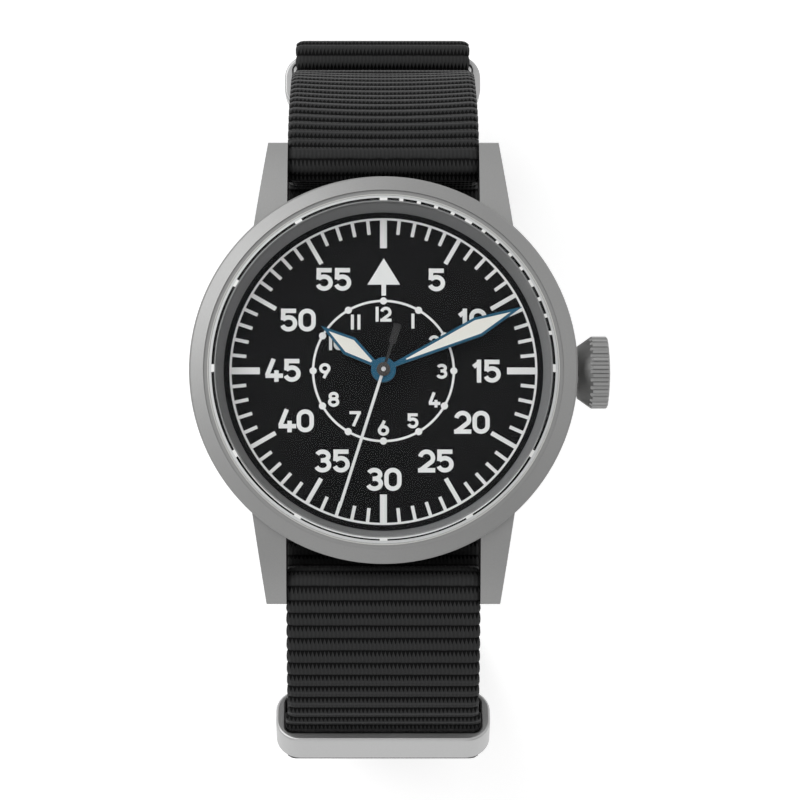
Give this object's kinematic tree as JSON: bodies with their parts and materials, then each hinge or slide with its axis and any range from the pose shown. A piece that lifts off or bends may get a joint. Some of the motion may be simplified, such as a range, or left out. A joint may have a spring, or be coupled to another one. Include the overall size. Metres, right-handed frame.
{
  "type": "pilot wristwatch",
  "caption": "Round pilot wristwatch with a black dial, luminous hands, domed crystal and fluted crown, closed on a black ribbed pull-through strap with metal rings and a buckle.",
  "frame": {"origin": "on the hands' axis, on the flat underside of the closed strap, which the watch rests on", "axes": "+Z out of the dial, +Y to 12 o'clock, +X to 3 o'clock and along the crown's stem"},
  "size_m": [0.0436, 0.0822, 0.0592],
  "materials": {
    "case_steel": "bead blasted, matt grey",
    "hardware_steel": "satin",
    "crystal_glass": "clear, polished",
    "rehaut_metal": "satin grey",
    "dial_black": "matt black",
    "gasket_rubber": "matt",
    "gasket_nylon": "satin, milky",
    "strap_fabric": "black ribbed weave",
    "hand_blue": "blued, polished",
    "lume_cream": "matt luminous filling",
    "seconds_white": "satin white",
    "wheel_brass": "gilt, fine grained",
    "part_steel": "fine brushed",
    "plate_rhodium": "plated, grained",
    "jewel_red": "clear red, polished"
  },
  "bodies": {
    "watch": {"case_middle": "case_steel", "bezel": "case_steel", "crystal": "crystal_glass", "crystal_gasket": "gasket_nylon", "rehaut": "rehaut_metal", "caseback": "case_steel", "caseback_gasket": "gasket_rubber", "dial": "dial_black", "main_plate": "plate_rhodium", "barrel_bridge": "plate_rhodium", "train_bridge": "plate_rhodium", "balance_cock": "plate_rhodium", "pallet_bridge": "plate_rhodium", "jewels": "jewel_red", "bridge_screws": "part_steel", "movement_ring": "part_steel", "crown_tube": "part_steel", "spring_bar_tubes": "part_steel", "spring_bar_springs": "part_steel", "strap_main": "strap_fabric", "under_strap": "strap_fabric", "strap_ring": "hardware_steel", "lower_keeper": "hardware_steel", "buckle_bar": "hardware_steel"},
    "seconds_arbor": {"fourth_wheel": "wheel_brass", "seconds_hand": "seconds_white"},
    "minute_arbor": {"cannon_pinion": "part_steel", "minute_hand": "hand_blue", "minute_hand_lume": "lume_cream"},
    "hour_arbor": {"hour_wheel": "wheel_brass", "hour_hand": "hand_blue", "hour_hand_lume": "lume_cream"},
    "great_arbor": {"great_wheel": "wheel_brass"},
    "third_arbor": {"third_wheel": "wheel_brass"},
    "escape_arbor": {"escape_wheel": "part_steel"},
    "pallets": {"pallet_fork": "part_steel"},
    "balance": {"balance_wheel": "wheel_brass", "hairspring": "part_steel"},
    "barrel_drum": {"barrel": "wheel_brass", "mainspring": "part_steel"},
    "ratchet": {"ratchet_wheel": "part_steel"},
    "minute_gear": {"minute_wheel": "wheel_brass"},
    "setting_gear": {"setting_wheel": "part_steel"},
    "click_lever": {"click": "part_steel"},
    "seal": {"crown_seal": "gasket_rubber"},
    "winder": {"crown": "case_steel", "stem": "part_steel"},
    "winding_gear": {"winding_pinion": "part_steel"},
    "crown_gear": {"crown_wheel": "part_steel"},
    "clutch_wheel": {"clutch": "part_steel"},
    "setting_arm": {"setting_lever": "part_steel"},
    "yoke_arm": {"yoke": "part_steel"},
    "keeper_loop": {"upper_keeper": "hardware_steel"},
    "buckle": {"buckle_frame": "hardware_steel"},
    "buckle_tongue": {"tongue": "hardware_steel"},
    "tip_twelve_left": {"bar_tip_twelve_left": "part_steel"},
    "tip_twelve_right": {"bar_tip_twelve_right": "part_steel"},
    "tip_six_left": {"bar_tip_six_left": "part_steel"},
    "tip_six_right": {"bar_tip_six_right": "part_steel"}
  },
  "joints": [
    {"name": "seconds_turn", "type": "hinge", "parent": "watch", "child": "seconds_arbor", "pos_m": [0, 0, 0.05323], "axis": [0, 0, 1], "continuous": true},
    {"name": "minutes_turn", "type": "hinge", "parent": "watch", "child": "minute_arbor", "pos_m": [0, 0, 0.05323], "axis": [0, 0, 1], "continuous": true},
    {"name": "hours_turn", "type": "hinge", "parent": "watch", "child": "hour_arbor", "pos_m": [0, 0, 0.05323], "axis": [0, 0, 1], "continuous": true},
    {"name": "great_turn", "type": "hinge", "parent": "watch", "child": "great_arbor", "pos_m": [0.0004, 0.00438, 0.05323], "axis": [0, 0, 1], "continuous": true},
    {"name": "third_turn", "type": "hinge", "parent": "watch", "child": "third_arbor", "pos_m": [-0.0032, 0.00168, 0.05323], "axis": [0, 0, 1], "continuous": true},
    {"name": "escape_turn", "type": "hinge", "parent": "watch", "child": "escape_arbor", "pos_m": [0.00159, -0.00276, 0.05323], "axis": [0, 0, 1], "continuous": true},
    {"name": "barrel_turn", "type": "hinge", "parent": "watch", "child": "barrel_drum", "pos_m": [0.00555, 0.00555, 0.05323], "axis": [0, 0, 1], "continuous": true},
    {"name": "minute_gear_turn", "type": "hinge", "parent": "watch", "child": "minute_gear", "pos_m": [0.00205, 0.00202, 0.05323], "axis": [0, 0, 1], "continuous": true},
    {"name": "setting_gear_turn", "type": "hinge", "parent": "watch", "child": "setting_gear", "pos_m": [0.0049, 0.00075, 0.05323], "axis": [0, 0, 1], "continuous": true},
    {"name": "pallet_swing", "type": "hinge", "parent": "watch", "child": "pallets", "pos_m": [0.00225, -0.00521, 0.05323], "axis": [0, 0, 1], "range_deg": [-7.5, 7.5]},
    {"name": "balance_swing", "type": "hinge", "parent": "watch", "child": "balance", "pos_m": [0.00075, -0.00781, 0.05323], "axis": [0, 0, 1], "range_deg": [-270, 270], "stiffness_Nm_per_rad": 0.000001},
    {"name": "click_lift", "type": "hinge", "parent": "watch", "child": "click_lever", "pos_m": [0.00458, 0.01107, 0.05323], "axis": [0, 0, 1], "range_deg": [0, 10], "stiffness_Nm_per_rad": 0.001, "springref_deg": -5.73},
    {"name": "crown_pull", "type": "slide", "parent": "watch", "child": "seal", "axis": [1, 0, 0], "range_m": [0, 0.001]},
    {"name": "crown_turn", "type": "hinge", "parent": "seal", "child": "winder", "pos_m": [0, 0, 0.0536], "axis": [1, 0, 0], "continuous": true},
    {"name": "winding_turn", "type": "hinge", "parent": "watch", "child": "winding_gear", "pos_m": [0, 0, 0.0536], "axis": [1, 0, 0], "continuous": true},
    {"name": "crown_gear_turn", "type": "hinge", "parent": "watch", "child": "crown_gear", "pos_m": [0.00822, 0, 0.05323], "axis": [0, 0, 1], "continuous": true},
    {"name": "ratchet_turn", "type": "hinge", "parent": "watch", "child": "ratchet", "pos_m": [0.00555, 0.00555, 0.05323], "axis": [0, 0, 1], "continuous": true},
    {"name": "clutch_slide", "type": "slide", "parent": "watch", "child": "clutch_wheel", "axis": [1, 0, 0], "range_m": [-0.0007, 0]},
    {"name": "setting_lever_turn", "type": "hinge", "parent": "watch", "child": "setting_arm", "pos_m": [0.0112, -0.003, 0.05323], "axis": [0, 0, 1], "range_deg": [-21.8, 0]},
    {"name": "yoke_turn", "type": "hinge", "parent": "watch", "child": "yoke_arm", "pos_m": [0.00745, -0.0036, 0.05323], "axis": [0, 0, 1], "range_deg": [0, 11]},
    {"name": "keeper_slide", "type": "slide", "parent": "watch", "child": "keeper_loop", "axis": [0, 0, -1], "range_m": [0, 0.0012]},
    {"name": "buckle_open", "type": "hinge", "parent": "watch", "child": "buckle", "pos_m": [0, 0.0176, 0.00355], "axis": [1, 0, 0], "range_deg": [0, 6]},
    {"name": "tongue_open", "type": "hinge", "parent": "buckle", "child": "buckle_tongue", "pos_m": [0, 0.0176, 0.00355], "axis": [1, 0, 0], "range_deg": [0, 5]},
    {"name": "tip_twelve_left_press", "type": "slide", "parent": "watch", "child": "tip_twelve_left", "axis": [1, 0, 0], "range_m": [0, 0.0009], "stiffness_N_per_m": 500, "springref_m": -0.001},
    {"name": "tip_twelve_right_press", "type": "slide", "parent": "watch", "child": "tip_twelve_right", "axis": [-1, 0, 0], "range_m": [0, 0.0009], "stiffness_N_per_m": 500, "springref_m": -0.001},
    {"name": "tip_six_left_press", "type": "slide", "parent": "watch", "child": "tip_six_left", "axis": [1, 0, 0], "range_m": [0, 0.0009], "stiffness_N_per_m": 500, "springref_m": -0.001},
    {"name": "tip_six_right_press", "type": "slide", "parent": "watch", "child": "tip_six_right", "axis": [-1, 0, 0], "range_m": [0, 0.0009], "stiffness_N_per_m": 500, "springref_m": -0.001}
  ],
  "couplings": [
    {"joint": "minutes_turn", "follows": "seconds_turn", "ratio": 0.016667},
    {"joint": "hours_turn", "follows": "seconds_turn", "ratio": 0.0013889},
    {"joint": "great_turn", "follows": "seconds_turn", "ratio": 0.016667},
    {"joint": "third_turn", "follows": "seconds_turn", "ratio": -0.13333},
    {"joint": "escape_turn", "follows": "seconds_turn", "ratio": -12},
    {"joint": "barrel_turn", "follows": "seconds_turn", "ratio": -0.002381},
    {"joint": "minute_gear_turn", "follows": "seconds_turn", "ratio": -0.0055556},
    {"joint": "setting_gear_turn", "follows": "seconds_turn", "ratio": 0.0125},
    {"joint": "winding_turn", "follows": "crown_turn", "ratio": 1},
    {"joint": "crown_gear_turn", "follows": "crown_turn", "ratio": 0.875},
    {"joint": "ratchet_turn", "follows": "crown_turn", "ratio": -0.5},
    {"joint": "clutch_slide", "follows": "crown_pull", "ratio": -0.7},
    {"joint": "setting_lever_turn", "follows": "crown_pull", "rad_per_m": -380},
    {"joint": "yoke_turn", "follows": "crown_pull", "rad_per_m": 191}
  ]
}
